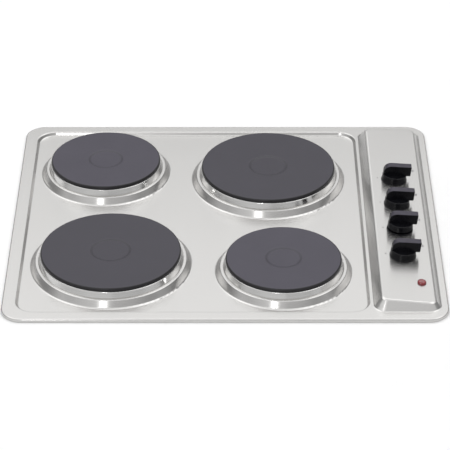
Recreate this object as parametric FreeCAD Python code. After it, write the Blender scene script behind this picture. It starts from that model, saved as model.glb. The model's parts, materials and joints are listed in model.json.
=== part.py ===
"""Built-in electric hob with four cast-iron hotplates and a tilted control panel.

Frame: +X to the right, +Y to the back, +Z up. The origin lies under the middle of the
hob, on the plane that the base tray rests on. Millimetres.
"""
import FreeCAD, Part
import math
import os

Vec = FreeCAD.Vector
UP = Vec(0, 0, 1)

# Top sheet, outline and levels
WIDTH = 580.0
DEPTH = 500.0
CORNER_R = 28.0
SHEET = 0.8
SEAT_Z = 38.0
LIP_Z = 38.2
RIM_Z = 43.0
RIM_EDGE_R = 2.0

# Reach of cutting tools past what they cut, and tolerances for picking edges
THROUGH = 5.0
NEAR = 1.0
TINY = 1e-4

# Main well: outline at the rim, and wall slope as run over height
WELL_X = (-272.2, 188.2)
WELL_Y = (-232.0, 233.0)
WELL_R = 25.0
WELL_Z = 38.5
WELL_SLOPE = 0.6
WELL_TOP_BEND = 2.0
WELL_FLOOR_BEND = 2.0

# Hotplates: disc radius of each size, and where the four stand
BIG_R = 93.5
SMALL_R = 76.9
FIELD_X = -45.8
FIELD_Y = -2.5
BIG_OFFSET = (106.2, 110.0)
SMALL_OFFSET = (123.25, 128.5)
PLATES = {
    "rear_left": (FIELD_X - SMALL_OFFSET[0], FIELD_Y + SMALL_OFFSET[1], SMALL_R),
    "rear_right": (FIELD_X + BIG_OFFSET[0], FIELD_Y + BIG_OFFSET[1], BIG_R),
    "front_left": (FIELD_X - BIG_OFFSET[0], FIELD_Y - BIG_OFFSET[1], BIG_R),
    "front_right": (FIELD_X + SMALL_OFFSET[0], FIELD_Y - SMALL_OFFSET[1], SMALL_R),
}

# Collar that carries a hotplate, as offsets outside the disc radius
COLLAR_Z = 48.0
COLLAR_FOOT = 13.4
COLLAR_SHOULDER = 7.3
COLLAR_FOOT_BEND = 3.0
COLLAR_TOP_BEND = 1.8
COLLAR_APRON = 4.0
COLLAR_HOLE_INSET = 2.5

# Hotplate casting
PLATE_TOP_Z = 61.0
PLATE_RIM_Z = 56.0
PLATE_FOOT_Z = 40.0
PLATE_EDGE_R = 2.2
PLATE_BODY_INSET = 4.0
PLATE_BEND = 0.5
PLATE_RIM_BEND = 0.4
BIG_RECESS_R = 23.7
SMALL_RECESS_R = 21.0
RECESS_DEPTH = 1.0
RECESS_WALL = 4.0
RECESS_BEND = 6.0
GROOVE_TOP_Z = 54.0
GROOVE_START_R = 26.0
GROOVE_WALL = 3.0
GROOVE_COUNT = 3
GROOVE_RIM_WALL = 5.0
COIL_GAP = 0.3
COIL_HEIGHT = 9.0

# Spill ring and gasket
RING_SHEET = 0.6
RING_FOOT = 3.5
RING_HEAD = 0.5
RING_BEND = 1.0
RING_LAP = 3.4
GASKET = 0.4
GASKET_INSET = 1.0
TURN_BEND = 0.1

# Plate fastening
COVER = 0.8
COVER_INSET = 1.0
STUD_CLEARANCE = 0.5
STUD_R = 2.9
STUD_TOP_Z = 50.0
STUD_FOOT_Z = 27.0
THREAD_GAP = 0.1
BRIDGE_SHEET = 2.0
BRIDGE_WIDTH = 26.0
BRIDGE_HEIGHT = 8.0
BRIDGE_OVERHANG = 19.0
NUT_FLATS = 10.0
NUT_HEIGHT = 5.0
TERMINAL_SIZE = (34.0, 20.0, 14.0)
TERMINAL_REACH = 45.0
TERMINAL_CHAMFER = 1.0
SLOT_COUNT = 4
SLOT_WIDTH = 2.4
SLOT_PITCH = 7.2
SLOT_ROOF = 6.0

# Control panel: foot outline, wall slope as run over height, and the tilted top plane
PANEL_X = (192.6, 280.0)
PANEL_Y = (-232.4, 232.0)
PANEL_R = 15.0
PANEL_LOFT = 20.0
PANEL_LOFT_R = 3.0
PANEL_SLOPE = 0.8
PANEL_TILT = 3.76
PANEL_TOP_BEND = 4.0
PANEL_FOOT_BEND = 2.0
KNOB_X = 236.2
KNOB_PANEL_Z = 54.0
KNOB_PITCH = 65.3
KNOB_REAR_Y = 80.5
KNOB_COUNT = 4
KNOB_LIFT = (0.0, 0.0, 2.5, 0.0)
KNOB_Y = [KNOB_REAR_Y - KNOB_PITCH * i for i in range(KNOB_COUNT)]

# Knob
KNOB_FOOT_W = 2.3
KNOB_SKIRT_R = 17.35
KNOB_SKIRT_TOP_R = 16.6
KNOB_SKIRT_W = 10.4
KNOB_TOP_W = 24.0
GRIP_WIDTH = 11.0
GRIP_BACK = 16.0
GRIP_FRONT = 22.6
GRIP_FOOT_W = 9.6
GRIP_BACK_R = 10.5
GRIP_RAKE = 0.8
GRIP_EDGE_R = 0.9
GRIP_TIP_R = 1.0
GRIP_SEAM_R = 0.5
SKIRT_EDGE_R = 1.2
SKIRT_WALL = 1.8
SKIRT_ROOF = 2.0
HUB_R = 6.0
BEZEL_R = 17.9
BEZEL_HOLE_R = 7.0
BEZEL_W = 2.0
BEZEL_EDGE_R = 0.7

# Switch and spindle, as heights along the panel's normal
SPINDLE_R = 3.0
SPINDLE_TOP_W = 19.0
SPINDLE_FLAT = 2.1
FLAT_FOOT_W = 8.0
RUN_GAP = 0.05
RAIL_W = -12.0
RAIL_SHEET = 1.5
RAIL_HALF = 18.0
RAIL_END = 32.0
RAIL_FOOT = 12.0
SWITCH_SIZE = (34.0, 36.0, 24.0)
SWITCH_TOP_W = RAIL_W - RAIL_SHEET
CAM_R = 9.0
CAM_GAP = 0.6
CAM_WALL = 3.5
NOTCH_COUNT = 7
NOTCH_R = 1.6
NOTCH_HEIGHT = 5.0
SWITCH_FLOOR = 1.5
SWITCH_CORNER_R = 3.0
END_GAP = 0.1
BUSH_R = 5.2
BUSH_TOP_W = -9.0
HOLE_GAP = 0.3
SWITCH_SCREW_V = 12.0
SWITCH_SCREW_DEPTH = 8.0
PANEL_HOLE_R = 5.0

# Pilot lamp
LAMP_U = 20.8
LAMP_V = -179.5
LENS_R = 6.0
LENS_HEIGHT = 3.8
LENS_EDGE = 0.8
LAMP_BODY_R = 4.7
LAMP_LENGTH = 24.0
LAMP_COLLAR_R = 6.7
LAMP_COLLAR = 3.0

# Base tray
TRAY_SHEET = 0.7
TRAY_X = 276.0
TRAY_Y = 236.0
TRAY_R = 20.0
TRAY_FLANGE = 3.0
DIMPLE_R = 8.0
DIMPLE_HEIGHT = 3.0
PILLARS = [(-255.0, -215.0), (-255.0, 215.0), (172.0, -215.0), (172.0, 215.0)]
PILLAR_FLATS = 7.0
PILLAR_BORE = 10.0
TRAY_SCREW_LENGTH = 9.0
SCREW_R = 2.0
SCREW_HEAD_R = 4.0
SCREW_HEAD = 2.5
SCREW_HEAD_BEND = 1.0
VENT_SIZE = (60.0, 4.0)
VENT_ROWS = 5
VENT_PITCH = 14.0
VENT_CENTRES = [(-46.0, 130.0), (-46.0, -130.0)]
CLAMP_HOLE_R = 2.1
CLAMP_HOLES_X = (-200.0, 150.0)
CLAMP_HOLE_Z = 20.0

# Worktop seal
SEAL_INSET = 2.4
SEAL_WIDTH = 6.6

# Mains inlet
INLET_X = 225.0
INLET_Z = 20.0
GROMMET_HOLE_R = 9.0
GROMMET_R = 11.0
GROMMET_BORE_R = 6.0
GROMMET_LIP = 3.0
GROMMET_FIT = 0.1
ANCHOR_SIZE = (36.0, 14.0)
ANCHOR_Y = 208.0
ANCHOR_SCREW_X = 13.0
ANCHOR_GAP = 2.0
ANCHOR_TOP_Z = 29.0
ANCHOR_SCREW_FOOT_Z = 8.0
MAINS_SIZE = (44.0, 24.0, 20.0)
MAINS_Y = 170.0
MAINS_WAYS = 3
MAINS_STEP = 6.0
MAINS_SCREW_R = 2.6
MAINS_SCREW_DEPTH = 9.0
MAINS_MOUTH_R = 3.0
MAINS_MOUTH_DEPTH = 12.0
MAINS_MOUTH_Z = 10.0

# Wiring
LOOM_R = 3.0
FEED_R = 1.6
LEAD_R = 1.5
ARC_SHARE = 0.45
ENTRY_W = -30.0
ENTRY_RUN = 22.0
LOOM_START_Z = 30.0
LOOM_EXIT = 20.0
LOOM_DROP = (42.0, 16.0)
LOOM_FLOOR_Z = 9.0
LOOM_SPAN = 70.0
LOOM_SWAY = 2.0
LOOM_RISE = (24.0, 12.0)
FEED_INSET = 7.0
FEED_TURN = (14.0, 25.0, -34.0)
FEED_END = (12.0, 10.0)
FEED_BEND = (14.0, -38.0, 3.0)
FEED_LAST_RUN = 20.0
LINK_RUN = 10.0
LINK_MIDDLE = (14.0, -33.0)
LEAD_DROP = 9.0
LEAD_TURN = (14.0, 14.0, -36.0)
LEAD_END = (4.0, 12.0, -28.0)

TILT = FreeCAD.Rotation(Vec(0, 1, 0), PANEL_TILT)
PANEL = FreeCAD.Placement(Vec(KNOB_X, 0, KNOB_PANEL_Z), TILT)


def on_panel(u, v, w):
    """Point given along the panel's slope, across it and along its normal."""
    return PANEL.multVec(Vec(u, v, w))


def place_on_panel(shape, v=0.0):
    """Move a shape made about the knob line's own origin to its seat on the panel."""
    moved = shape.copy()
    moved.translate(Vec(0, v, 0))
    moved.Placement = PANEL.multiply(moved.Placement)
    return moved


def box(x, y, z):
    """Upright box from its three ranges."""
    return Part.makeBox(x[1] - x[0], y[1] - y[0], z[1] - z[0], Vec(x[0], y[0], z[0]))


def cylinder(r, x, y, z0, z1):
    """Upright cylinder."""
    return Part.makeCylinder(r, z1 - z0, Vec(x, y, z0), UP)


def level_cylinder(r, x, z, y0, y1):
    """Level cylinder along the depth."""
    return Part.makeCylinder(r, y1 - y0, Vec(x, y0, z), Vec(0, 1, 0))


def hexagon(flats, x, y, z0, z1):
    """Upright hexagonal bar with its size across flats."""
    corner = flats / math.sqrt(3)
    angles = [math.radians(60 * i) for i in range(7)]
    points = [Vec(x + corner * math.cos(a), y + corner * math.sin(a), z0) for a in angles]
    return Part.Face(Part.makePolygon(points)).extrude(Vec(0, 0, z1 - z0))


def fuse(shapes):
    """Join shapes that touch into one clean solid."""
    return shapes[0].multiFuse(shapes[1:]).removeSplitter()


def rounded_edges(points, radii):
    """Straight edges through the points, with a tangent arc of the given radius at each inner one."""
    edges = []
    start = points[0]
    for before, corner, after, radius in zip(points, points[1:], points[2:], radii):
        to_before = (before - corner).normalize()
        to_after = (after - corner).normalize()
        half = to_before.getAngle(to_after) / 2
        reach = radius / math.tan(half)
        first = corner + to_before * reach
        last = corner + to_after * reach
        middle_line = (to_before + to_after).normalize()
        middle = corner + middle_line * (radius / math.sin(half) - radius)
        if (first - start).Length > TINY:
            edges.append(Part.LineSegment(start, first).toShape())
        edges.append(Part.Arc(first, middle, last).toShape())
        start = last
    edges.append(Part.LineSegment(start, points[-1]).toShape())
    return edges


def rounded_wire(x, y, r, z):
    """Closed outline of a rectangle with round corners."""
    middle = (x[0] + x[1]) / 2
    points = [Vec(middle, y[0], z), Vec(x[1], y[0], z), Vec(x[1], y[1], z)]
    points += [Vec(x[0], y[1], z), Vec(x[0], y[0], z), Vec(middle, y[0], z)]
    return Part.Wire(rounded_edges(points, [r] * 4))


def rounded_block(x, y, r, z):
    """Upright block with round corners."""
    return Part.Face(rounded_wire(x, y, r, z[0])).extrude(Vec(0, 0, z[1] - z[0]))


def grown(span, d):
    """Range made wider by d at each end."""
    return (span[0] - d, span[1] + d)


def edges_at(shape, z, inside=None):
    """Edges that lie in one level plane, optionally only those inside an X range."""
    found = []
    for edge in shape.Edges:
        bounds = edge.BoundBox
        if abs(bounds.ZMin - z) > TINY or abs(bounds.ZMax - z) > TINY:
            continue
        if inside and (bounds.XMin < inside[0] or bounds.XMax > inside[1]):
            continue
        found.append(edge)
    return found


def turned(points, radii, x, y):
    """Solid turned about an upright axis from (radius, height) points with rounded corners.

    The first and last points lie on the axis or close the outline by a straight line.
    """
    flat = [Vec(r, 0, z) for r, z in points]
    edges = rounded_edges(flat, radii)
    edges.append(Part.LineSegment(flat[-1], flat[0]).toShape())
    solid = Part.Face(Part.Wire(edges)).revolve(Vec(0, 0, 0), UP, 360)
    solid.translate(Vec(x, y, 0))
    return solid


def washer(r_in, r_out, x, y, z0, z1):
    """Flat ring."""
    return cylinder(r_out, x, y, z0, z1).cut(cylinder(r_in, x, y, z0, z1))


def tube(points, radius):
    """Wire or loom along straight runs with the largest tangent arcs that fit."""
    radii = []
    for before, corner, after in zip(points, points[1:], points[2:]):
        turn = (corner - before).getAngle(after - corner)
        shorter = min((corner - before).Length, (after - corner).Length)
        radii.append(ARC_SHARE * shorter / math.tan(turn / 2))
    path = Part.Wire(rounded_edges(points, radii))
    start = Part.Circle(points[0], points[1] - points[0], radius).toShape()
    solid = path.makePipeShell([Part.Wire([start])], True, False)
    ideal = math.pi * radius ** 2 * path.Length
    print("tube: length", round(path.Length, 1), "smallest bend", round(min(radii), 1),
          "volume over ideal", round(solid.Volume / ideal, 4))
    return solid


def wall_shift(slope, d):
    """Sideways move of a sloped wall's corner when its sheet surface is offset by d."""
    return d * (math.sqrt(1 + slope ** 2) - slope)


def collar_body(plate, d):
    """Filled collar under one hotplate, with its surface moved inwards by d."""
    x, y, r = plate
    slope = (COLLAR_FOOT - COLLAR_SHOULDER) / (COLLAR_Z - WELL_Z)
    shift = wall_shift(slope, d)
    foot = r + COLLAR_FOOT - shift
    shoulder = r + COLLAR_SHOULDER - shift
    low = WELL_Z - d
    high = COLLAR_Z - d
    apron = foot + COLLAR_APRON
    points = [(0, low - SHEET), (apron, low - SHEET), (apron, low)]
    points += [(foot, low), (shoulder, high), (0, high)]
    radii = [TURN_BEND, TURN_BEND, COLLAR_FOOT_BEND + d, COLLAR_TOP_BEND - d]
    return turned(points, radii, x, y)


def panel_body(d):
    """Filled control panel, with its surface moved inwards by d."""
    shift = wall_shift(PANEL_SLOPE, d)
    low = RIM_Z - d
    foot = rounded_wire(grown(PANEL_X, -shift), grown(PANEL_Y, -shift), PANEL_R, low)
    inset = shift + PANEL_LOFT * PANEL_SLOPE
    head = rounded_wire(grown(PANEL_X, -inset), grown(PANEL_Y, -inset), PANEL_LOFT_R, low + PANEL_LOFT)
    body = Part.makeLoft([foot, head], True, True)
    above = box((-WIDTH, WIDTH), (-DEPTH, DEPTH), (-d, WIDTH))
    above.Placement = PANEL.multiply(above.Placement)
    body = body.cut(above)
    top_face = max(body.Faces, key=lambda face: face.CenterOfMass.z)
    return body.makeFillet(PANEL_TOP_BEND - d, top_face.OuterWire.Edges)


def well_space(d):
    """Space of the main well above its floor, with its surface moved outwards by d."""
    shift = wall_shift(WELL_SLOPE, d)
    low = WELL_Z - d
    high = RIM_Z + THROUGH
    floor_inset = (RIM_Z - WELL_Z) * WELL_SLOPE - shift
    head_inset = floor_inset - (high - low) * WELL_SLOPE
    wires = []
    for inset, z in ((floor_inset, low), (head_inset, high)):
        wires.append(rounded_wire(grown(WELL_X, -inset), grown(WELL_Y, -inset), WELL_R - inset, z))
    space = Part.makeLoft(wires, True, True)
    return space.makeFillet(WELL_FLOOR_BEND + d, edges_at(space, low))


def under_surface(d):
    """Everything below the top sheet's surface, when that surface is moved inwards by d."""
    low = LIP_Z if d == 0 else LIP_Z - THROUGH
    outline = rounded_block(grown((-WIDTH / 2, WIDTH / 2), -d), grown((-DEPTH / 2, DEPTH / 2), -d),
                            CORNER_R - d, (low, RIM_Z - d))
    outline = outline.makeFillet(RIM_EDGE_R - d, edges_at(outline, RIM_Z - d))
    body = outline.cut(well_space(d))
    rim = edges_at(body, RIM_Z - d, inside=grown(WELL_X, d + NEAR))
    body = body.makeFillet(WELL_TOP_BEND - d, rim)
    body = fuse([body] + [collar_body(plate, d) for plate in PLATES.values()] + [panel_body(d)])
    return body.makeFillet(PANEL_FOOT_BEND + d, edges_at(body, RIM_Z - d, inside=grown(PANEL_X, NEAR)))


def hob_top():
    """Pressed stainless top sheet with lip, well, collars and control panel."""
    sheet = under_surface(0).cut(under_surface(SHEET))
    for x, y, r in PLATES.values():
        sheet = sheet.cut(cylinder(r - COLLAR_HOLE_INSET, x, y, WELL_Z, COLLAR_Z + THROUGH))
    for y in KNOB_Y:
        sheet = sheet.cut(place_on_panel(cylinder(PANEL_HOLE_R, 0, 0, -THROUGH, THROUGH), y))
    lamp_hole = cylinder(LAMP_BODY_R + RUN_GAP, LAMP_U, LAMP_V, -THROUGH, THROUGH)
    return sheet.cut(place_on_panel(lamp_hole))


def hotplate(plate):
    """Cast-iron hotplate with a shallow centre recess and ring grooves underneath."""
    x, y, r = plate
    recess = BIG_RECESS_R if r == BIG_R else SMALL_RECESS_R
    body = r - PLATE_BODY_INSET
    floor = PLATE_TOP_Z - RECESS_DEPTH
    points = [(0, PLATE_FOOT_Z), (body, PLATE_FOOT_Z), (body, PLATE_RIM_Z), (r, PLATE_RIM_Z)]
    points += [(r, PLATE_TOP_Z), (recess + RECESS_WALL, PLATE_TOP_Z), (recess, floor), (0, floor)]
    radii = [PLATE_BEND, PLATE_BEND, PLATE_RIM_BEND, PLATE_EDGE_R, RECESS_BEND, RECESS_BEND]
    casting = turned(points, radii, x, y)
    for r_in, r_out in grooves(r):
        casting = casting.cut(washer(r_in, r_out, x, y, PLATE_FOOT_Z, GROOVE_TOP_Z))
    return casting.cut(cylinder(STUD_R + THREAD_GAP, x, y, PLATE_FOOT_Z, STUD_TOP_Z))


def grooves(r):
    """Inner and outer radius of each ring groove under a hotplate."""
    end = r - PLATE_BODY_INSET - GROOVE_RIM_WALL
    width = (end - GROOVE_START_R - GROOVE_WALL * (GROOVE_COUNT - 1)) / GROOVE_COUNT
    starts = [GROOVE_START_R + i * (width + GROOVE_WALL) for i in range(GROOVE_COUNT)]
    return [(start, start + width) for start in starts]


def heater_coils(plate):
    """Three heating coils in their insulating fill, one ring in each groove."""
    x, y, r = plate
    foot = GROOVE_TOP_Z - COIL_HEIGHT
    return [washer(r_in + COIL_GAP, r_out - COIL_GAP, x, y, foot, GROOVE_TOP_Z) for r_in, r_out in grooves(r)]


def spill_ring(plate):
    """Stainless ring that bridges from the collar to the underside of the hotplate's rim."""
    x, y, r = plate
    foot = COLLAR_Z + GASKET
    slope = (RING_FOOT - RING_HEAD) / (PLATE_RIM_Z - foot)
    wall = RING_SHEET * math.sqrt(1 + slope ** 2)
    inner_head = RING_HEAD - wall_shift(slope, RING_SHEET)
    low = PLATE_RIM_Z - RING_SHEET
    outer = [(r + RING_FOOT, foot), (r + RING_HEAD, PLATE_RIM_Z), (r - RING_LAP, PLATE_RIM_Z)]
    inner = [(r - RING_LAP, low), (r + inner_head, low), (r + RING_FOOT - wall, foot)]
    return turned(outer + inner, [RING_BEND, TURN_BEND, TURN_BEND, RING_BEND - RING_SHEET], x, y)


def ring_gasket(plate):
    """Flat gasket between collar and spill ring."""
    x, y, r = plate
    return washer(r - GASKET_INSET, r + RING_FOOT, x, y, COLLAR_Z, COLLAR_Z + GASKET)


def bottom_cover(plate):
    """Sheet cover that closes the ring grooves from below."""
    x, y, r = plate
    edge = r - PLATE_BODY_INSET - COVER_INSET
    return washer(STUD_R + STUD_CLEARANCE, edge, x, y, PLATE_FOOT_Z - COVER, PLATE_FOOT_Z)


def plate_stud(plate):
    """Threaded stud in the middle of a hotplate."""
    x, y, _ = plate
    return cylinder(STUD_R, x, y, STUD_FOOT_Z, STUD_TOP_Z)


def clamp_bridge(plate):
    """Channel strap that bears on the sheet's underside at both ends of the hotplate."""
    x, y, r = plate
    top = WELL_Z - SHEET
    half = r + BRIDGE_OVERHANG
    half_width = BRIDGE_WIDTH / 2
    bar = box((x - half, x + half), (y - half_width, y + half_width), (top - BRIDGE_HEIGHT, top))
    inner = half_width - BRIDGE_SHEET
    bar = bar.cut(box((x - half, x + half), (y - inner, y + inner),
                      (top - BRIDGE_HEIGHT, top - BRIDGE_SHEET)))
    return bar.cut(cylinder(STUD_R + STUD_CLEARANCE, x, y, top - BRIDGE_HEIGHT, top))


def plate_nut(plate):
    """Hexagonal nut that pulls the bridge up on the stud."""
    x, y, _ = plate
    top = WELL_Z - SHEET - BRIDGE_SHEET
    nut = hexagon(NUT_FLATS, x, y, top - NUT_HEIGHT, top)
    return nut.cut(cylinder(STUD_R + THREAD_GAP, x, y, top - NUT_HEIGHT, top))


def terminal_side(plate):
    """+1 or -1: terminal blocks lie towards the middle of the hob from their hotplate."""
    return -1 if plate[1] > FIELD_Y else 1


def plate_terminal(plate):
    """Ceramic block with four wire slots, under the bottom cover."""
    x, y, _ = plate
    length, width, height = TERMINAL_SIZE
    centre = y + terminal_side(plate) * TERMINAL_REACH
    top = PLATE_FOOT_Z - COVER
    block = box((x - length / 2, x + length / 2), (centre - width / 2, centre + width / 2),
                (top - height, top))
    block = block.makeChamfer(TERMINAL_CHAMFER, edges_at(block, top - height))
    for i in range(SLOT_COUNT):
        left = x + (i - (SLOT_COUNT - 1) / 2) * SLOT_PITCH - SLOT_WIDTH / 2
        along = (left, left + SLOT_WIDTH)
        block = block.cut(box(along, (centre - width, centre), (top - height, top - SLOT_ROOF)))
    return block


def knob_grip():
    """Grip bar: rounded down to the skirt at its back end, square at the end that points."""
    half = GRIP_WIDTH / 2
    outline = [(0, GRIP_FOOT_W), (-GRIP_BACK, GRIP_FOOT_W), (-GRIP_BACK, KNOB_TOP_W)]
    outline += [(GRIP_FRONT, KNOB_TOP_W), (GRIP_FRONT - GRIP_RAKE, GRIP_FOOT_W), (0, GRIP_FOOT_W)]
    radii = [GRIP_SEAM_R, GRIP_BACK_R, GRIP_TIP_R, GRIP_TIP_R]
    edges = rounded_edges([Vec(u, -half, w) for u, w in outline], radii)
    grip = Part.Face(Part.Wire(edges)).extrude(Vec(0, GRIP_WIDTH, 0))
    upper = [edge for edge in grip.Edges if edge.BoundBox.ZMax > GRIP_FOOT_W + NEAR]
    sides = [edge for edge in upper if edge.BoundBox.YLength < TINY]
    return grip.makeFillet(GRIP_EDGE_R, sides)


def knob(lift):
    """Round skirt with a grip bar that points one way past it."""
    skirt = Part.makeCone(KNOB_SKIRT_R, KNOB_SKIRT_TOP_R, KNOB_SKIRT_W - KNOB_FOOT_W,
                          Vec(0, 0, KNOB_FOOT_W), UP)
    skirt = skirt.makeFillet(SKIRT_EDGE_R, edges_at(skirt, KNOB_SKIRT_W))
    body = fuse([skirt, knob_grip()])
    hollow = washer(HUB_R, KNOB_SKIRT_TOP_R - SKIRT_WALL, 0, 0, KNOB_FOOT_W, KNOB_SKIRT_W - SKIRT_ROOF)
    body = body.cut(hollow)
    bore = cylinder(SPINDLE_R + RUN_GAP, 0, 0, 0, SPINDLE_TOP_W)
    flat = box((SPINDLE_FLAT + RUN_GAP, HUB_R), (-HUB_R, HUB_R), (FLAT_FOOT_W, SPINDLE_TOP_W))
    body = body.cut(bore.cut(flat))
    body.translate(Vec(0, 0, lift))
    return body


def knob_bezel():
    """Low ring on the panel under a knob."""
    ring = washer(BEZEL_HOLE_R, BEZEL_R, 0, 0, 0, BEZEL_W)
    outer = [edge for edge in edges_at(ring, BEZEL_W) if edge.BoundBox.XMax > BEZEL_R - NEAR]
    return ring.makeFillet(BEZEL_EDGE_R, outer)


def switch_spindle():
    """D-shaped spindle with the switch's cam drum on it."""
    foot = SWITCH_TOP_W - SWITCH_SIZE[2] + SWITCH_FLOOR + END_GAP
    shaft = cylinder(SPINDLE_R, 0, 0, foot, SPINDLE_TOP_W)
    shaft = shaft.cut(box((SPINDLE_FLAT, HUB_R), (-HUB_R, HUB_R), (FLAT_FOOT_W, SPINDLE_TOP_W)))
    cam_foot = SWITCH_TOP_W - SWITCH_SIZE[2] + CAM_WALL + RUN_GAP
    cam = cylinder(CAM_R, 0, 0, cam_foot, SWITCH_TOP_W - CAM_WALL - RUN_GAP)
    for i in range(NOTCH_COUNT):
        angle = math.radians(360 / NOTCH_COUNT * i)
        u = CAM_R * math.cos(angle)
        v = CAM_R * math.sin(angle)
        cam = cam.cut(cylinder(NOTCH_R, u, v, cam_foot, cam_foot + NOTCH_HEIGHT))
    return fuse([shaft, cam])


def switch_body():
    """Moulded switch housing with the spindle's bush on top and blade contacts at the side."""
    u, v, height = SWITCH_SIZE
    foot = SWITCH_TOP_W - height
    case = box((-u / 2, u / 2), (-v / 2, v / 2), (foot, SWITCH_TOP_W))
    corners = [edge for edge in case.Edges if edge.BoundBox.ZLength > height - NEAR]
    case = case.makeFillet(SWITCH_CORNER_R, corners)
    case = fuse([case, cylinder(BUSH_R, 0, 0, SWITCH_TOP_W, BUSH_TOP_W)])
    case = case.cut(cylinder(CAM_R + CAM_GAP, 0, 0, foot + CAM_WALL, SWITCH_TOP_W - CAM_WALL))
    case = case.cut(cylinder(SPINDLE_R + RUN_GAP, 0, 0, foot + SWITCH_FLOOR, BUSH_TOP_W))
    for side in (-SWITCH_SCREW_V, SWITCH_SCREW_V):
        hole_foot = SWITCH_TOP_W - SWITCH_SCREW_DEPTH
        case = case.cut(cylinder(SCREW_R + RUN_GAP, 0, side, hole_foot, SWITCH_TOP_W))
    return case


def switch_screw(v):
    """Pan-head screw that holds a switch under the rail."""
    head = cylinder(SCREW_HEAD_R, 0, v, RAIL_W, RAIL_W + SCREW_HEAD)
    head = head.makeFillet(SCREW_HEAD_BEND, edges_at(head, RAIL_W + SCREW_HEAD))
    return fuse([head, cylinder(SCREW_R, 0, v, SWITCH_TOP_W - SWITCH_SCREW_DEPTH, RAIL_W)])


def switch_rail():
    """Strip that carries the four switches, cranked up to the panel's underside at both ends."""
    rear = KNOB_Y[0] + RAIL_END
    front = KNOB_Y[-1] - RAIL_END
    top = -SHEET
    low = RAIL_W - RAIL_SHEET
    half = (-RAIL_HALF, RAIL_HALF)
    pieces = [box(half, (front, rear), (low, RAIL_W))]
    pieces.append(box(half, (front, front + RAIL_SHEET), (low, top)))
    pieces.append(box(half, (rear - RAIL_SHEET, rear), (low, top)))
    pieces.append(box(half, (front - RAIL_FOOT, front + RAIL_SHEET), (top - RAIL_SHEET, top)))
    pieces.append(box(half, (rear - RAIL_SHEET, rear + RAIL_FOOT), (top - RAIL_SHEET, top)))
    rail = fuse(pieces)
    for v in KNOB_Y:
        rail = rail.cut(cylinder(BUSH_R + HOLE_GAP, 0, v, low, RAIL_W))
        for side in (-SWITCH_SCREW_V, SWITCH_SCREW_V):
            rail = rail.cut(cylinder(SCREW_R + HOLE_GAP, 0, v + side, low, RAIL_W))
    return rail


def lamp_lens():
    """Domed lens of the pilot lamp."""
    dome = cylinder(LENS_R, LAMP_U, LAMP_V, 0, LENS_HEIGHT)
    return dome.makeFillet(LENS_HEIGHT - LENS_EDGE, edges_at(dome, LENS_HEIGHT))


def lamp_body():
    """Lamp barrel below the lens, with a spring collar under the sheet."""
    barrel = cylinder(LAMP_BODY_R, LAMP_U, LAMP_V, -LAMP_LENGTH, 0)
    collar = cylinder(LAMP_COLLAR_R, LAMP_U, LAMP_V, -SHEET - LAMP_COLLAR, -SHEET)
    return fuse([barrel, collar])


def base_tray():
    """Galvanised tray that closes the hob from below."""
    x = (-TRAY_X, TRAY_X)
    y = (-TRAY_Y, TRAY_Y)
    top = RIM_Z - SHEET
    outer = rounded_block(x, y, TRAY_R, (0, top))
    flange = rounded_block(grown(x, TRAY_FLANGE), grown(y, TRAY_FLANGE), TRAY_R + TRAY_FLANGE,
                           (top - TRAY_SHEET, top))
    inner = rounded_block(grown(x, -TRAY_SHEET), grown(y, -TRAY_SHEET), TRAY_R - TRAY_SHEET,
                          (TRAY_SHEET, top))
    for px, py in PILLARS:
        inner = inner.cut(cylinder(DIMPLE_R + TRAY_SHEET, px, py, 0, DIMPLE_HEIGHT + TRAY_SHEET))
    tray = fuse([outer, flange]).cut(inner)
    for px, py in PILLARS:
        tray = tray.cut(cylinder(DIMPLE_R, px, py, 0, DIMPLE_HEIGHT))
        tray = tray.cut(cylinder(SCREW_R + HOLE_GAP, px, py, 0, DIMPLE_HEIGHT + TRAY_SHEET))
    tray = tray.cut(Part.makeCompound(tray_vents() + clamp_holes()))
    return tray.cut(level_cylinder(GROMMET_HOLE_R, INLET_X, INLET_Z, TRAY_Y - THROUGH, TRAY_Y + THROUGH))


def tray_vents():
    """Two fields of cooling slots in the tray's floor."""
    length, width = VENT_SIZE
    slots = []
    for cx, cy in VENT_CENTRES:
        for i in range(VENT_ROWS):
            y = cy + (i - (VENT_ROWS - 1) / 2) * VENT_PITCH
            along = (cx - length / 2, cx + length / 2)
            slots.append(box(along, (y - width / 2, y + width / 2), (0, TRAY_SHEET)))
    return slots


def clamp_holes():
    """Holes in the front and rear walls for the worktop clamps' screws."""
    holes = []
    for wall in (-TRAY_Y, TRAY_Y):
        for x in CLAMP_HOLES_X:
            holes.append(level_cylinder(CLAMP_HOLE_R, x, CLAMP_HOLE_Z, wall - THROUGH, wall + THROUGH))
    return holes


def tray_pillar(x, y):
    """Hexagonal pillar between the tray's dimple and the well's underside."""
    foot = DIMPLE_HEIGHT + TRAY_SHEET
    pillar = hexagon(PILLAR_FLATS, x, y, foot, WELL_Z - SHEET)
    return pillar.cut(cylinder(SCREW_R + THREAD_GAP, x, y, foot, foot + PILLAR_BORE))


def tray_screw(x, y):
    """Pan-head screw, sunk in the tray's dimple."""
    head = cylinder(SCREW_HEAD_R, x, y, DIMPLE_HEIGHT - SCREW_HEAD, DIMPLE_HEIGHT)
    head = head.makeFillet(SCREW_HEAD_BEND, edges_at(head, DIMPLE_HEIGHT - SCREW_HEAD))
    return fuse([head, cylinder(SCREW_R, x, y, DIMPLE_HEIGHT, DIMPLE_HEIGHT + TRAY_SCREW_LENGTH)])


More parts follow.
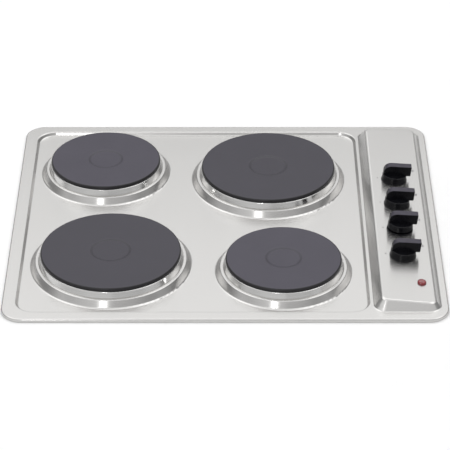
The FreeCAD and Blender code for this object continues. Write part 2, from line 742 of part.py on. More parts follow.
def worktop_seal():
    """Foam strip under the rim, just inside the lip."""
    top = RIM_Z - SHEET
    x = (-WIDTH / 2, WIDTH / 2)
    y = (-DEPTH / 2, DEPTH / 2)
    outer = rounded_block(grown(x, -SEAL_INSET), grown(y, -SEAL_INSET), CORNER_R - SEAL_INSET, (SEAT_Z, top))
    depth = SEAL_INSET + SEAL_WIDTH
    return outer.cut(rounded_block(grown(x, -depth), grown(y, -depth), CORNER_R - depth, (SEAT_Z, top)))


def cable_grommet():
    """Rubber grommet in the rear wall, for the mains cable."""
    profile = [(GROMMET_BORE_R, 0), (GROMMET_R, 0), (GROMMET_R, GROMMET_LIP)]
    neck = GROMMET_HOLE_R - GROMMET_FIT
    profile += [(neck, GROMMET_LIP), (neck, GROMMET_LIP + TRAY_SHEET)]
    profile += [(GROMMET_R, GROMMET_LIP + TRAY_SHEET), (GROMMET_R, 2 * GROMMET_LIP + TRAY_SHEET)]
    profile += [(GROMMET_BORE_R, 2 * GROMMET_LIP + TRAY_SHEET), (GROMMET_BORE_R, 0)]
    face = Part.Face(Part.makePolygon([Vec(r, 0, z) for r, z in profile]))
    ring = face.revolve(Vec(0, 0, 0), UP, 360)
    ring.rotate(Vec(0, 0, 0), Vec(1, 0, 0), -90)
    ring.translate(Vec(INLET_X, TRAY_Y - TRAY_SHEET - GROMMET_LIP, INLET_Z))
    return ring


def cable_space():
    """Space that the mains cable takes through its anchor."""
    end = ANCHOR_Y + ANCHOR_SIZE[1] + THROUGH
    return level_cylinder(GROMMET_BORE_R, INLET_X, INLET_Z, ANCHOR_Y - THROUGH, end)


def anchor_half(z0, z1):
    """One half of the cord anchor, with its screw holes."""
    length, width = ANCHOR_SIZE
    half = box((INLET_X - length / 2, INLET_X + length / 2), (ANCHOR_Y, ANCHOR_Y + width), (z0, z1))
    half = half.cut(cable_space())
    for side in (-ANCHOR_SCREW_X, ANCHOR_SCREW_X):
        hole = cylinder(SCREW_R + THREAD_GAP, INLET_X + side, ANCHOR_Y + width / 2, ANCHOR_SCREW_FOOT_Z, z1)
        half = half.cut(hole)
    return half


def anchor_screws():
    """Two screws that close the cord anchor."""
    screws = []
    y = ANCHOR_Y + ANCHOR_SIZE[1] / 2
    top = ANCHOR_TOP_Z
    for side in (-ANCHOR_SCREW_X, ANCHOR_SCREW_X):
        head = cylinder(SCREW_HEAD_R, INLET_X + side, y, top, top + SCREW_HEAD)
        head = head.makeFillet(SCREW_HEAD_BEND, edges_at(head, top + SCREW_HEAD))
        screws.append(fuse([head, cylinder(SCREW_R, INLET_X + side, y, ANCHOR_SCREW_FOOT_Z, top)]))
    return screws


def mains_terminal():
    """Terminal block for the mains cable, on the tray's floor."""
    length, width, height = MAINS_SIZE
    x0 = INLET_X - length / 2
    top = TRAY_SHEET + height
    block = box((x0, x0 + length), (MAINS_Y, MAINS_Y + width), (TRAY_SHEET, top))
    back = MAINS_Y + width
    block = block.cut(box((x0, x0 + length), (MAINS_Y, MAINS_Y + width / 3), (top - MAINS_STEP, top)))
    for i in range(MAINS_WAYS):
        x = x0 + length * (i + 0.5) / MAINS_WAYS
        block = block.cut(cylinder(MAINS_SCREW_R, x, back - width / 3, top - MAINS_SCREW_DEPTH, top))
        block = block.cut(level_cylinder(MAINS_MOUTH_R, x, MAINS_MOUTH_Z, back - MAINS_MOUTH_DEPTH, back))
    return block


def plate_loom(plate, knob_y):
    """Sleeved wires from a hotplate's terminal block to its switch."""
    x, y, _ = plate
    side = y + terminal_side(plate) * TERMINAL_REACH
    start = x + TERMINAL_SIZE[0] / 2
    face = -SWITCH_SIZE[0] / 2
    reach = on_panel(face, knob_y, ENTRY_W)
    lead = on_panel(face - ENTRY_RUN, knob_y, ENTRY_W)
    gap = lead.x - start
    drop, drop_z = LOOM_DROP
    points = [Vec(start, side, LOOM_START_Z), Vec(start + LOOM_EXIT, side, LOOM_START_Z)]
    points.append(Vec(start + drop, side, drop_z))
    count = max(2, round(gap / LOOM_SPAN))
    for i in range(1, count):
        share = i / count
        sway = LOOM_SWAY if i % 2 else -LOOM_SWAY
        middle = side + (knob_y - side) * share + sway
        points.append(Vec(start + drop + (gap - LOOM_SPAN) * share, middle, LOOM_FLOOR_Z + i % 2))
    back, fall = LOOM_RISE
    points += [Vec(lead.x - back, knob_y, lead.z - fall), lead, reach]
    return tube(points, LOOM_R)


def feed_route():
    """Points from the first switch down to the mains terminal."""
    face = SWITCH_SIZE[0] / 2
    v = KNOB_Y[0] + FEED_INSET
    run, back, low = FEED_TURN
    foot = Vec(INLET_X + FEED_END[0], MAINS_Y, FEED_END[1])
    points = [on_panel(face, v, ENTRY_W), on_panel(face + run, v, ENTRY_W)]
    points.append(on_panel(face + run, v + back, low))
    return points + [foot + Vec(*FEED_BEND), foot - Vec(0, FEED_LAST_RUN, 0), foot]


def link_route(rear, front):
    """Points from one switch to the next."""
    face = SWITCH_SIZE[0] / 2
    run, low = LINK_MIDDLE
    v0 = rear - FEED_INSET
    v1 = front + FEED_INSET
    points = [on_panel(face, v0, ENTRY_W), on_panel(face + LINK_RUN, v0, ENTRY_W)]
    points.append(on_panel(face + run, (rear + front) / 2, low))
    return points + [on_panel(face + LINK_RUN, v1, ENTRY_W), on_panel(face, v1, ENTRY_W)]


def feed_wires():
    """Feed from the mains terminal to the first switch, and the links from each switch to the next."""
    routes = [feed_route()] + [link_route(rear, front) for rear, front in zip(KNOB_Y, KNOB_Y[1:])]
    return [tube(points, FEED_R) for points in routes]


def lamp_lead():
    """Lead from the pilot lamp to the front switch."""
    start = on_panel(LAMP_U, LAMP_V, -LAMP_LENGTH)
    drop = on_panel(LAMP_U, LAMP_V, -LAMP_LENGTH - LEAD_DROP)
    left, back, low = LEAD_TURN
    turn = on_panel(LAMP_U - left, LAMP_V + back, low)
    u, run, w = LEAD_END
    face = KNOB_Y[-1] - SWITCH_SIZE[1] / 2
    return tube([start, drop, turn, on_panel(u, face - run, w), on_panel(u, face, w)], LEAD_R)


def save(name, shapes):
    """Write one node's STEP file."""
    shape = shapes if isinstance(shapes, Part.Shape) else Part.makeCompound(shapes)
    if not shape.isValid():
        print("INVALID", name)
    shape.exportStep("parts/" + name + ".step")


def save_plates():
    """Hotplates with all that belongs to each."""
    plates = list(PLATES.values())
    for (name, plate), knob_y in zip(PLATES.items(), KNOB_Y):
        save("hotplate_" + name, hotplate(plate))
        save("heater_coils_" + name, heater_coils(plate))
        save("bottom_cover_" + name, bottom_cover(plate))
        save("spill_ring_" + name, spill_ring(plate))
        save("clamp_bridge_" + name, clamp_bridge(plate))
        save("plate_terminal_" + name, plate_terminal(plate))
        save("plate_loom_" + name, plate_loom(plate, knob_y))
    save("ring_gaskets", [ring_gasket(plate) for plate in plates])
    save("plate_studs", [plate_stud(plate) for plate in plates])
    save("plate_nuts", [plate_nut(plate) for plate in plates])


def save_controls():
    """Knobs, switches, lamp and their rail."""
    screws = []
    for number, (v, lift) in enumerate(zip(KNOB_Y, KNOB_LIFT), start=1):
        save("knob_%d" % number, place_on_panel(knob(lift), v))
        save("switch_spindle_%d" % number, place_on_panel(switch_spindle(), v))
        save("switch_body_%d" % number, place_on_panel(switch_body(), v))
        screws += [place_on_panel(switch_screw(side), v) for side in (-SWITCH_SCREW_V, SWITCH_SCREW_V)]
    save("switch_screws", screws)
    save("knob_bezels", [place_on_panel(knob_bezel(), v) for v in KNOB_Y])
    save("switch_rail", place_on_panel(switch_rail()))
    save("lamp_lens", place_on_panel(lamp_lens()))
    save("lamp_body", place_on_panel(lamp_body()))
    save("lamp_lead", lamp_lead())
    save("feed_wires", feed_wires())


def save_housing():
    """Top sheet, tray, seal and mains inlet."""
    save("hob_top", hob_top())
    save("base_tray", base_tray())
    save("worktop_seal", worktop_seal())
    save("tray_pillars", [tray_pillar(x, y) for x, y in PILLARS])
    save("tray_screws", [tray_screw(x, y) for x, y in PILLARS])
    save("cable_grommet", cable_grommet())
    save("anchor_base", anchor_half(TRAY_SHEET, INLET_Z - ANCHOR_GAP / 2))
    save("anchor_bar", anchor_half(INLET_Z + ANCHOR_GAP / 2, ANCHOR_TOP_Z))
    save("anchor_screws", anchor_screws())
    save("mains_terminal", mains_terminal())


os.makedirs("parts", exist_ok=True)
save_housing()
save_plates()
save_controls()
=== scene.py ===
"""Looks of a four-plate built-in electric hob, set into a pale worktop under soft studio light."""
import bmesh
import bpy
import json
import math
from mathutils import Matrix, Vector


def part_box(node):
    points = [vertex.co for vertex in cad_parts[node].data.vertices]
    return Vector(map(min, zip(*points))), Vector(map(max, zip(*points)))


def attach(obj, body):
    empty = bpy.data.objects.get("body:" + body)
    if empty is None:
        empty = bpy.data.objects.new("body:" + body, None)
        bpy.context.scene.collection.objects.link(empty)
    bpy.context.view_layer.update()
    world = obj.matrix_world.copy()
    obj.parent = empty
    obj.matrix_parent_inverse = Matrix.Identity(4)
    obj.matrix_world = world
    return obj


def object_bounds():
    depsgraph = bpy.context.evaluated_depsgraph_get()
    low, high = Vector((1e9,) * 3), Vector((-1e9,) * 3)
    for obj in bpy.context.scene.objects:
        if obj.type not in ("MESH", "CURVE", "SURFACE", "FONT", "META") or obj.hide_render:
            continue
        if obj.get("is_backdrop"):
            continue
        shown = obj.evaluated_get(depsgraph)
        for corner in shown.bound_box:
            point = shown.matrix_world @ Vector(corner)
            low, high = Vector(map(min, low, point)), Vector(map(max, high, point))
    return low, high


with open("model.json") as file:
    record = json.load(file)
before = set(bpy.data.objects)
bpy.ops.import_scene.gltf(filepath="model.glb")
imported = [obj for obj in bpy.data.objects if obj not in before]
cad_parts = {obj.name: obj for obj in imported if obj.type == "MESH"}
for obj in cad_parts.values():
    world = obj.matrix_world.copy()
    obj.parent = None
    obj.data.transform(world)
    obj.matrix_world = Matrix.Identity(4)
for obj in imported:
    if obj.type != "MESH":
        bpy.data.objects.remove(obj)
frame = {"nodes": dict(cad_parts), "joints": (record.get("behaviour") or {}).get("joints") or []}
CAD_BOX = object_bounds()

MM = 0.001
MICRON = 0.000001
PLATES = ("rear_left", "rear_right", "front_left", "front_right")
KNOBS = (1, 2, 3, 4)
SEAT_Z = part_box("worktop_seal")[0].z
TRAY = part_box("base_tray")
CUTOUT_GAP = 1.0 * MM

# Factors on the colour of a hotplate's top: the small plates are greyer than the large ones
SMALL_PLATES = ("rear_left", "front_right")
SMALL_TONE = 1.55
LARGE_TONE = 1.05

# Heights between which the painted sheen on top of the knobs' grips fades in
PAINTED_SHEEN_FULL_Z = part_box("knob_1")[1].z - 6.0 * MM
PAINTED_SHEEN_START_Z = PAINTED_SHEEN_FULL_Z - 5.0 * MM

# Places of the prints, as offsets from a knob's pivot along the panel's slope and to the back
ICON_PLACE = (27.0 * MM, 27.0 * MM)
DOT_PLACE = (-22.7 * MM, 2.6 * MM)

# Sizes of the prints: ICON_HALF is from the icon's middle to a ring's, along each axis
ICON_HALF = 1.4 * MM
ICON_R = 1.2 * MM
ICON_HOLE = 0.6 * MM
DOT_R = 1.0 * MM
FILLED_HOLE = 0.05 * MM

# Heights of the ink's foot and top over the level of the pivot, and the sides of a round mark
INK_FOOT = 0.02 * MM
INK_TOP = 0.06 * MM
INK_SIDES = 24

# Span that a noise's values mostly stay within, and how rough each noise is
NOISE_LOW = 0.3
NOISE_HIGH = 0.7
NOISE_ROUGHNESS = 0.55

# Half the side of the worktop that is shown
WORKTOP_REACH = 3.0

# Lamps: name, shape, place, size and the brightness of the surface, all aimed at one point of the hob
LIGHT_TARGET = (0, 0, 0.05)
LIGHTS = (
    ("back_box", "RECTANGLE", (-0.08, 1.05, 1.00), (1.5, 0.8), 0.36),
    ("key", "ELLIPSE", (-0.50, -2.05, 1.32), (0.34, 0.22), 18),
)

# Brightness of the surroundings by the height of the direction, from the horizon at 0 to overhead at 1
SKY_LEVELS = ((0.0, 0.32), (0.47, 0.32), (0.57, 0.94), (0.85, 1.0), (1.0, 1.0))

# Gains on that brightness: right behind, and in each of the zones that studio_zones describes
SKY_BACK_GAIN = 1.03
ZONE_GAINS = {"high": 1.85, "front_low": 2.3, "behind_low": 1.6, "flank": 0.90, "front_right": 0.85,
              "left": 1.5}

# Camera: lens and sensor in millimetres, reach and place in metres, turns about X, Y and Z in degrees
CAMERA_LENS = 184.2
CAMERA_SENSOR = 36.0
CAMERA_REACH = 50
CAMERA_PLACE = (0.0046, -2.6863, 1.7151)
CAMERA_DEGREES = (57.8905, 0.0524, 0.0717)


def middle(name):
    """Centre of a CAD node's box."""
    low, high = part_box(name)
    return (low + high) / 2


def joint_of(number):
    """Pivot and axis of one knob."""
    name = "knob_%d_turn" % number
    found = next(joint for joint in frame["joints"] if joint["name"] == name)
    return Vector(found["pos_m"]), Vector(found["axis"]).normalized()


# ---------------------------------------------------------------- node helpers

def new_material(name):
    """Material with a node tree and its Principled shader."""
    made = bpy.data.materials.new(name)
    made.use_nodes = True
    return made, made.node_tree, made.node_tree.nodes["Principled BSDF"]


def connect(tree, target, inputs):
    """Link or set a node's inputs."""
    for key, value in inputs.items():
        if isinstance(value, bpy.types.NodeSocket):
            tree.links.new(value, target.inputs[key])
        else:
            target.inputs[key].default_value = value


def node(tree, kind, inputs=None, **settings):
    """Add one node, set its properties, and link or set its inputs."""
    added = tree.nodes.new("ShaderNode" + kind)
    for key, value in settings.items():
        setattr(added, key, value)
    connect(tree, added, inputs or {})
    return added


def coordinates(tree, scale, centre=(0, 0, 0)):
    """Object coordinates about a centre, times a scale per metre: one number, or one for each axis."""
    source = node(tree, "TexCoord").outputs["Object"]
    moved = node(tree, "VectorMath", {0: source, 1: centre}, operation="SUBTRACT").outputs[0]
    per_axis = scale if isinstance(scale, tuple) else (scale, scale, scale)
    return node(tree, "VectorMath", {0: moved, 1: per_axis}, operation="MULTIPLY").outputs[0]


def noise(tree, scale, detail=3.0):
    """Noise over object coordinates."""
    made = node(tree, "TexNoise", {"Vector": coordinates(tree, scale), "Scale": 1.0,
                                   "Detail": detail, "Roughness": NOISE_ROUGHNESS})
    return made.outputs["Fac"]


def mix_values(tree, first, second, share):
    """Weighted mean of two values."""
    made = node(tree, "Mix", {"Factor": share, "A": first, "B": second}, data_type="FLOAT")
    return made.outputs["Result"]


def mix_colours(tree, first, second, share):
    """Colour between two colours."""
    made = node(tree, "Mix", {"Factor": share, "A": first, "B": second}, data_type="RGBA")
    return made.outputs["Result"]


def spread(tree, value, low, high):
    """Map a noise's usual span to a range."""
    made = node(tree, "MapRange", {"Value": value, "From Min": NOISE_LOW, "From Max": NOISE_HIGH,
                                   "To Min": low, "To Max": high})
    return made.outputs["Result"]


def band(tree, value, start, end, low, high):
    """Smooth step of a value between two levels."""
    made = node(tree, "MapRange", {"Value": value, "From Min": start, "From Max": end,
                                   "To Min": low, "To Max": high}, interpolation_type="SMOOTHSTEP")
    return made.outputs["Result"]


def multiply(tree, first, second):
    """Product of two values."""
    return node(tree, "Math", {0: first, 1: second}, operation="MULTIPLY").outputs[0]


def between(tree, value, rise, fall):
    """Share of 1 inside a span of a value, which fades in over rise and out over fall."""
    return multiply(tree, band(tree, value, *rise, 0, 1), band(tree, value, *fall, 1, 0))


def gain_inside(tree, zone, gain):
    """Factor of 1 outside a zone and of the gain inside it."""
    return node(tree, "MapRange", {"Value": zone, "To Min": 1.0, "To Max": gain}).outputs["Result"]


def tint(tree, value, dark, light, start=NOISE_LOW, end=NOISE_HIGH):
    """Colour between two tones, driven by a value."""
    ramp = node(tree, "ValToRGB", {"Fac": value})
    ramp.color_ramp.elements[0].position = start
    ramp.color_ramp.elements[1].position = end
    ramp.color_ramp.elements[0].color = (*dark, 1)
    ramp.color_ramp.elements[1].color = (*light, 1)
    return ramp.outputs["Color"]


def bump(tree, height, distance):
    """Normal from a height, whose full swing is the distance in metres."""
    made = node(tree, "Bump", {"Height": height, "Distance": distance, "Strength": 1.0})
    return made.outputs["Normal"]


def upward_facing(tree, start, end):
    """Share of 1 where the surface faces up, 0 where it is steeper."""
    normal = node(tree, "TexCoord").outputs["Normal"]
    return band(tree, node(tree, "SeparateXYZ", {"Vector": normal}).outputs["Z"], start, end, 0, 1)


def radius_from(tree, centre):
    """Distance from an upright axis, in metres."""
    flat = coordinates(tree, (1, 1, 0), centre)
    return node(tree, "VectorMath", {0: flat}, operation="LENGTH").outputs["Value"]


def ring_noise(tree, centre, per_metre, detail=2.0):
    """Noise that varies only with the distance from an axis, as a turning tool leaves it."""
    distance = multiply(tree, radius_from(tree, centre), per_metre)
    made = node(tree, "TexNoise", {"W": distance, "Scale": 1.0, "Detail": detail},
                noise_dimensions="1D")
    return made.outputs["Fac"]


# ---------------------------------------------------------------- materials

def stainless():
    """Stainless sheet: very fine grain along X, faint streaks across it and broad changes of gloss."""
    made, tree, shader = new_material("stainless_brushed")
    fine = noise(tree, (60, 9000, 9000), detail=2.0)
    streak = noise(tree, (160, 9, 9), detail=3.0)
    cloud = noise(tree, (7, 9, 9), detail=2.0)
    grain = mix_values(tree, fine, streak, 0.35)
    across = node(tree, "CombineXYZ", {"X": 0.0, "Y": 1.0, "Z": 0.0}).outputs[0]
    rough = mix_values(tree, grain, cloud, 0.5)
    connect(tree, shader, {
        "Base Color": tint(tree, grain, (0.603, 0.596, 0.586), (0.615, 0.608, 0.598)),
        "Metallic": 1.0,
        "Roughness": spread(tree, rough, 0.235, 0.265),
        "Anisotropic": 0.8,
        "Tangent": across,
        "Normal": bump(tree, fine, 1.5 * MICRON),
    })
    return made


def spun_steel(name, centre):
    """Polished stainless ring with faint marks round its axis."""
    made, tree, shader = new_material(name)
    lines = ring_noise(tree, centre, 2600)
    handling = noise(tree, 55, detail=3.0)
    connect(tree, shader, {
        "Base Color": tint(tree, lines, (0.62, 0.616, 0.608), (0.68, 0.676, 0.668)),
        "Metallic": 1.0,
        "Roughness": spread(tree, mix_values(tree, lines, handling, 0.5), 0.10, 0.20),
        "Normal": bump(tree, lines, 3 * MICRON),
    })
    return made


def hotplate_iron(name, centre, tone):
    """Cast iron with a dark heat-proof coat, lighter by the tone on its top, with painted shade making
    its slopes and sides blacker.
    """
    made, tree, shader = new_material(name)
    turned = ring_noise(tree, centre, 900, detail=3.0)
    grit = noise(tree, 1900, detail=3.0)
    patch = noise(tree, 22, detail=3.0)
    coat = mix_values(tree, patch, grit, 0.35)
    relief = mix_values(tree, grit, turned, 0.35)
    shades = ((0.0268, 0.0241, 0.0362), (0.0352, 0.0320, 0.0456))
    dark, light = (tuple(channel * tone for channel in shade) for shade in shades)
    top = tint(tree, coat, dark, light)
    # Painted shade: a blacker copy of the coat for the slopes and sides, mixed in by how far the surface
    # faces up
    side = tint(tree, coat, (0.0060, 0.0056, 0.0075), (0.0100, 0.0094, 0.0120))
    flat = upward_facing(tree, 0.93, 0.995)
    connect(tree, shader, {
        "Base Color": mix_colours(tree, side, top, flat),
        "Roughness": spread(tree, mix_values(tree, patch, turned, 0.4), 0.34, 0.44),
        "Specular IOR Level": 0.45,
        "Normal": bump(tree, relief, 30 * MICRON),
    })
    return made


def moulded(name, dark, light, rough, grain=2400, relief=12 * MICRON):
    """Moulded or pressed matter, or ink, with a fine texture and a slight change of tone."""
    made, tree, shader = new_material(name)
    texture = noise(tree, grain, detail=2.0)
    cloud = noise(tree, 130, detail=2.0)
    connect(tree, shader, {
        "Base Color": tint(tree, mix_values(tree, cloud, texture, 0.4), dark, light),
        "Roughness": spread(tree, mix_values(tree, texture, cloud, 0.5), *rough),
        "Normal": bump(tree, texture, relief),
    })
    return made


def knob_plastic():
    """Glossy black plastic, painted greyer on top of the grip as a sheen of reflected light."""
    made, tree, shader = new_material("knob_black")
    texture = noise(tree, 2400, detail=2.0)
    cloud = noise(tree, 130, detail=2.0)
    place = node(tree, "SeparateXYZ", {"Vector": node(tree, "TexCoord").outputs["Object"]})
    on_grip = band(tree, place.outputs["Z"], PAINTED_SHEEN_START_Z, PAINTED_SHEEN_FULL_Z, 0, 1)
    # Painted sheen: the grip's upward faces are made greyer, standing in for reflected light
    painted_sheen = multiply(tree, upward_facing(tree, 0.35, 0.98), on_grip)
    painted_sheen = multiply(tree, painted_sheen, spread(tree, cloud, 0.75, 1.0))
    plain = tint(tree, mix_values(tree, cloud, texture, 0.4),
                 (0.0035, 0.0035, 0.0045), (0.007, 0.007, 0.009))
    painted_sheen_tone = (0.062, 0.057, 0.076, 1)
    connect(tree, shader, {
        "Base Color": mix_colours(tree, plain, painted_sheen_tone, painted_sheen),
        "Roughness": spread(tree, mix_values(tree, texture, cloud, 0.5), 0.17, 0.25),
        "Specular IOR Level": 0.20,
        "Normal": bump(tree, texture, 10 * MICRON),
    })
    return made


def lens_red():
    """Translucent red lens with faint upright prism lines."""
    made, tree, shader = new_material("lens_red")
    prism = noise(tree, (900, 900, 60), detail=1.0)
    connect(tree, shader, {
        "Base Color": tint(tree, prism, (0.17, 0.006, 0.012), (0.34, 0.014, 0.024)),
        "Roughness": spread(tree, prism, 0.10, 0.18),
        "Transmission Weight": 0.15,
        "Coat Weight": 1.0,
        "Normal": bump(tree, prism, 20 * MICRON),
    })
    return made


def galvanised():
    """Zinc-coated sheet with its crystal pattern."""
    made, tree, shader = new_material("galvanised")
    cell = node(tree, "TexVoronoi", {"Vector": coordinates(tree, 110), "Scale": 1.0})
    spangle = node(tree, "SeparateColor", {"Color": cell.outputs["Color"]}).outputs[0]
    cloud = noise(tree, 14, detail=4.0)
    tone = mix_values(tree, spangle, cloud, 0.55)
    connect(tree, shader, {
        "Base Color": tint(tree, tone, (0.42, 0.44, 0.45), (0.62, 0.64, 0.65)),
        "Metallic": 1.0,
        "Roughness": spread(tree, tone, 0.32, 0.52),
        "Normal": bump(tree, spangle, 10 * MICRON),
    })
    return made


def plated():
    """Zinc-plated steel of screws, studs, nuts, spindles and pillars."""
    made, tree, shader = new_material("zinc_plated")
    wear = noise(tree, 700, detail=3.0)
    connect(tree, shader, {
        "Base Color": tint(tree, wear, (0.52, 0.53, 0.52), (0.70, 0.71, 0.70)),
        "Metallic": 1.0,
        "Roughness": spread(tree, wear, 0.25, 0.42),
        "Normal": bump(tree, wear, 5 * MICRON),
    })
    return made


def woven(name, dark, light, pitch):
    """Braided or woven fibre."""
    made, tree, shader = new_material(name)
    weave = node(tree, "TexWave", {"Vector": coordinates(tree, 1 / pitch), "Scale": 0.3,
                                   "Distortion": 0.6}, bands_direction="DIAGONAL")
    fibre = noise(tree, 3000, detail=2.0)
    thread = mix_values(tree, weave.outputs["Fac"], fibre, 0.4)
    connect(tree, shader, {
        "Base Color": tint(tree, thread, dark, light, 0.1, 0.9),
        "Roughness": spread(tree, fibre, 0.75, 0.92),
        "Normal": bump(tree, thread, 200 * MICRON),
    })
    return made


def worktop_surface():
    """Plain pale worktop."""
    made, tree, shader = new_material("worktop_pale")
    mottle = noise(tree, 30, detail=5.0)
    connect(tree, shader, {
        "Base Color": tint(tree, mottle, (0.93, 0.93, 0.93), (0.95, 0.95, 0.95)),
        "Roughness": spread(tree, mottle, 0.80, 0.90),
        "Specular IOR Level": 0.1,
    })
    return made


def dress(node_name, surface):
    """Give a CAD node its material."""
    mesh = frame["nodes"][node_name].data
    mesh.materials.clear()
    mesh.materials.append(surface)


def dress_all():
    """Materials of every CAD node."""
    zinc = galvanised()
    fixings = plated()
    black = knob_plastic()
    phenolic = moulded("switch_phenolic", (0.030, 0.026, 0.022), (0.055, 0.048, 0.042), (0.45, 0.6))
    white = moulded("lamp_white", (0.62, 0.61, 0.57), (0.74, 0.73, 0.69), (0.4, 0.55))
    steatite = moulded("steatite", (0.66, 0.62, 0.54), (0.82, 0.79, 0.72), (0.6, 0.8),
                       grain=1500, relief=30 * MICRON)
    magnesia = moulded("magnesia_fill", (0.40, 0.38, 0.35), (0.60, 0.58, 0.54), (0.8, 0.95),
                       grain=900, relief=100 * MICRON)
    foam = moulded("seal_foam", (0.020, 0.020, 0.020), (0.060, 0.060, 0.060), (0.85, 0.98),
                   grain=1200, relief=200 * MICRON)
    rubber = moulded("grommet_rubber", (0.014, 0.014, 0.014), (0.030, 0.030, 0.030), (0.6, 0.75))
    silicone = moulded("wire_red", (0.34, 0.035, 0.030), (0.46, 0.060, 0.050), (0.35, 0.5))
    sleeve = woven("loom_sleeve", (0.40, 0.38, 0.33), (0.66, 0.63, 0.57), 1.2 * MM)
    gasket = woven("gasket_glass", (0.42, 0.40, 0.36), (0.62, 0.60, 0.56), 0.9 * MM)
    dress("hob_top", stainless())
    dress("lamp_lens", lens_red())
    for name in PLATES:
        centre = middle("spill_ring_" + name)
        tone = SMALL_TONE if name in SMALL_PLATES else LARGE_TONE
        dress("hotplate_" + name, hotplate_iron("hotplate_iron_" + name, centre, tone))
        dress("spill_ring_" + name, spun_steel("spun_steel_" + name, centre))
        dress("heater_coils_" + name, magnesia)
        dress("bottom_cover_" + name, zinc)
        dress("clamp_bridge_" + name, zinc)
        dress("plate_terminal_" + name, steatite)
        dress("plate_loom_" + name, sleeve)
    for number in KNOBS:
        dress("knob_%d" % number, black)
        dress("switch_spindle_%d" % number, fixings)
        dress("switch_body_%d" % number, phenolic)
    plain = {"base_tray": zinc, "switch_rail": zinc, "ring_gaskets": gasket, "plate_studs": fixings,
             "plate_nuts": fixings, "switch_screws": fixings, "tray_screws": fixings,
             "tray_pillars": fixings, "anchor_screws": fixings, "knob_bezels": black,
             "lamp_body": white, "lamp_lead": silicone, "feed_wires": silicone,
             "mains_terminal": white, "anchor_base": phenolic, "anchor_bar": phenolic,
             "cable_grommet": rubber, "worktop_seal": foam}
    for name, surface in plain.items():
        dress(name, surface)


# ---------------------------------------------------------------- prints on the panel

def on_panel(number, u, v, height):
    """Point near one knob, given along the panel's slope, towards the back and out of it."""
    pivot, normal = joint_of(number)
    back = Vector((0, 1, 0))
    return pivot + back.cross(normal) * u + back * v + normal * height


def add_ring(shape, number, centre, outer, inner):
    """Thin closed ring of ink round a centre on the panel."""
    loops = []
    for radius, height in ((outer, INK_FOOT), (outer, INK_TOP), (inner, INK_TOP), (inner, INK_FOOT)):
        turns = [math.tau * i / INK_SIDES for i in range(INK_SIDES)]
        points = [(centre[0] + radius * math.cos(t), centre[1] + radius * math.sin(t)) for t in turns]
        loops.append([shape.verts.new(on_panel(number, u, v, height)) for u, v in points])
    for near, far in zip(loops, loops[1:] + loops[:1]):
        for i in range(INK_SIDES):
            after = (i + 1) % INK_SIDES
            shape.faces.new((near[i], near[after], far[after], far[i]))


def add_print(name, number, rings, surface):
    """Printed mark beside one knob, made of rings given as centre, outer and inner radius."""
    shape = bmesh.new()
    for centre, outer, inner in rings:
        add_ring(shape, number, centre, outer, inner)
    bmesh.ops.recalc_face_normals(shape, faces=shape.faces)
    mesh = bpy.data.meshes.new(name)
    shape.to_mesh(mesh)
    shape.free()
    mesh.materials.append(surface)
    mark = bpy.data.objects.new(name, mesh)
    bpy.context.scene.collection.objects.link(mark)
    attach(mark, "root")


def add_prints():
    """Beside each knob: four small rings, with the plate it works filled in, and an index dot."""
    grey = moulded("print_grey", (0.10, 0.095, 0.11), (0.15, 0.145, 0.16), (0.55, 0.7))
    pale = moulded("print_pale", (0.24, 0.235, 0.24), (0.31, 0.305, 0.31), (0.55, 0.7))
    # In the order of PLATES
    corners = ((-1, 1), (1, 1), (-1, -1), (1, -1))
    for number in KNOBS:
        rings = []
        for place, (side, back) in enumerate(corners, start=1):
            centre = (ICON_PLACE[0] + side * ICON_HALF, ICON_PLACE[1] + back * ICON_HALF)
            filled = place == number
            rings.append((centre, ICON_R, FILLED_HOLE if filled else ICON_HOLE))
        add_print("plate_icon_%d" % number, number, rings, grey)
        add_print("index_dot_%d" % number, number, [(DOT_PLACE, DOT_R, FILLED_HOLE)], pale)


# ---------------------------------------------------------------- stage, light and camera

def add_worktop():
    """Pale worktop at the level of the seal, with the cut-out that the tray hangs through."""
    low, high = TRAY
    xs = (-WORKTOP_REACH, low.x - CUTOUT_GAP, high.x + CUTOUT_GAP, WORKTOP_REACH)
    ys = (-WORKTOP_REACH, low.y - CUTOUT_GAP, high.y + CUTOUT_GAP, WORKTOP_REACH)
    mesh = bpy.data.meshes.new("worktop")
    points = [(x, y, SEAT_Z) for y in ys for x in xs]
    wide = len(xs)
    firsts = [row * wide + col for row in range(3) for col in range(3) if (row, col) != (1, 1)]
    faces = [(first, first + 1, first + wide + 1, first + wide) for first in firsts]
    mesh.from_pydata(points, [], faces)
    mesh.materials.append(worktop_surface())
    worktop = bpy.data.objects.new("worktop", mesh)
    bpy.context.scene.collection.objects.link(worktop)
    worktop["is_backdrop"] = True


def add_light(name, shape, place, size, radiance):
    """Soft light of a given surface brightness, facing the hob."""
    data = bpy.data.lights.new(name, "AREA")
    data.shape = shape
    data.size, data.size_y = size
    area = size[0] * size[1] * (math.pi / 4 if shape == "ELLIPSE" else 1)
    data.energy = radiance * math.pi * area
    lamp = bpy.data.objects.new(name, data)
    lamp.location = place
    lamp.rotation_euler = (Vector(LIGHT_TARGET) - Vector(place)).to_track_quat("-Z", "Y").to_euler()
    lamp.visible_camera = False
    bpy.context.scene.collection.objects.link(lamp)


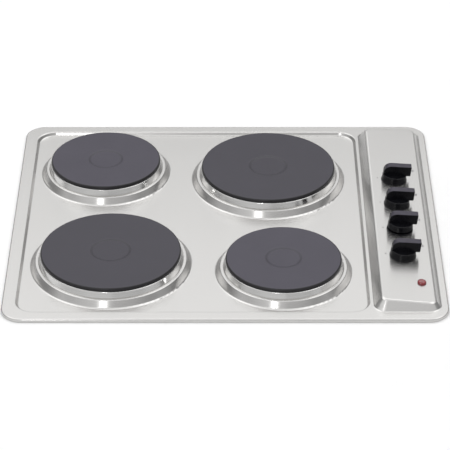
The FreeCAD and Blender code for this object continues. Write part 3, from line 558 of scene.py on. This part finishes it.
def add_world():
    """Studio surroundings: dim near the horizon and bright higher up, then scaled zone by zone."""
    world = bpy.data.worlds.new("studio")
    bpy.context.scene.world = world
    world.use_nodes = True
    tree = world.node_tree
    back = tree.nodes["Background"]
    direction = node(tree, "TexCoord").outputs["Generated"]
    split = node(tree, "SeparateXYZ", {"Vector": direction})
    side, depth, height = (split.outputs[axis] for axis in "XYZ")
    ramp = node(tree, "ValToRGB", {"Fac": height})
    stops = ramp.color_ramp.elements
    while len(stops) < len(SKY_LEVELS):
        stops.new(0.5)
    for stop, (place, level) in zip(stops, SKY_LEVELS):
        stop.position = place
        stop.color = (level, level, level, 1)
    strength = band(tree, depth, -0.6, 0.5, 1.0, SKY_BACK_GAIN)
    for name, zone in studio_zones(tree, side, depth, height).items():
        strength = multiply(tree, strength, gain_inside(tree, zone, ZONE_GAINS[name]))
    tree.links.new(ramp.outputs["Color"], back.inputs["Color"])
    tree.links.new(strength, back.inputs["Strength"])


def studio_zones(tree, side, depth, height):
    """Soft-edged zones of direction, from its parts to the right, to the back and up."""
    turned_away = node(tree, "Math", {0: side}, operation="ABSOLUTE").outputs[0]
    low = band(tree, height, 0.25, 0.45, 1, 0)
    forward = band(tree, depth, 0.0, -0.35, 0, 1)
    right_of_middle = multiply(tree, between(tree, side, (0.0, 0.10), (0.70, 0.85)), forward)
    left_side = multiply(tree, band(tree, side, -0.02, -0.25, 0, 1), band(tree, depth, 0.25, -0.15, 0, 1))
    behind = multiply(tree, between(tree, side, (-0.5, -0.2), (0.35, 0.7)),
                      band(tree, depth, 0.3, 0.7, 0, 1))
    return {
        "high": multiply(tree, between(tree, height, (0.66, 0.78), (0.90, 0.97)),
                         band(tree, depth, -0.30, 0.0, 0, 1)),
        "front_low": multiply(tree, forward, low),
        "behind_low": multiply(tree, behind, low),
        "flank": multiply(tree, band(tree, turned_away, 0.45, 0.85, 0, 1),
                          band(tree, height, 0.10, 0.30, 1, 0)),
        "front_right": multiply(tree, right_of_middle, band(tree, height, 0.78, 0.88, 1, 0)),
        "left": multiply(tree, left_side, between(tree, height, (0.22, 0.36), (0.42, 0.62))),
    }


def add_lights():
    """Large box behind for the sheet's sheen, and a small lamp at the front left for the glints."""
    for light in LIGHTS:
        add_light(*light)


def add_camera():
    """Camera in front, looking down at the hob by about 32 degrees."""
    data = bpy.data.cameras.new("camera")
    data.lens = CAMERA_LENS
    data.sensor_width = CAMERA_SENSOR
    data.clip_end = CAMERA_REACH
    camera = bpy.data.objects.new("camera", data)
    camera.location = CAMERA_PLACE
    camera.rotation_euler = [math.radians(angle) for angle in CAMERA_DEGREES]
    bpy.context.scene.collection.objects.link(camera)
    bpy.context.scene.camera = camera


def write_size():
    """Boxes of the CAD model and of the visual model, worked out but not written anywhere."""
    boxes = {"cad": CAD_BOX, "visual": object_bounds()}
    boxes = {name: [list(corner) for corner in box] for name, box in boxes.items()}


dress_all()
add_prints()
add_worktop()
add_world()
add_lights()
add_camera()
bpy.context.scene.view_settings.view_transform = "Standard"
write_size()
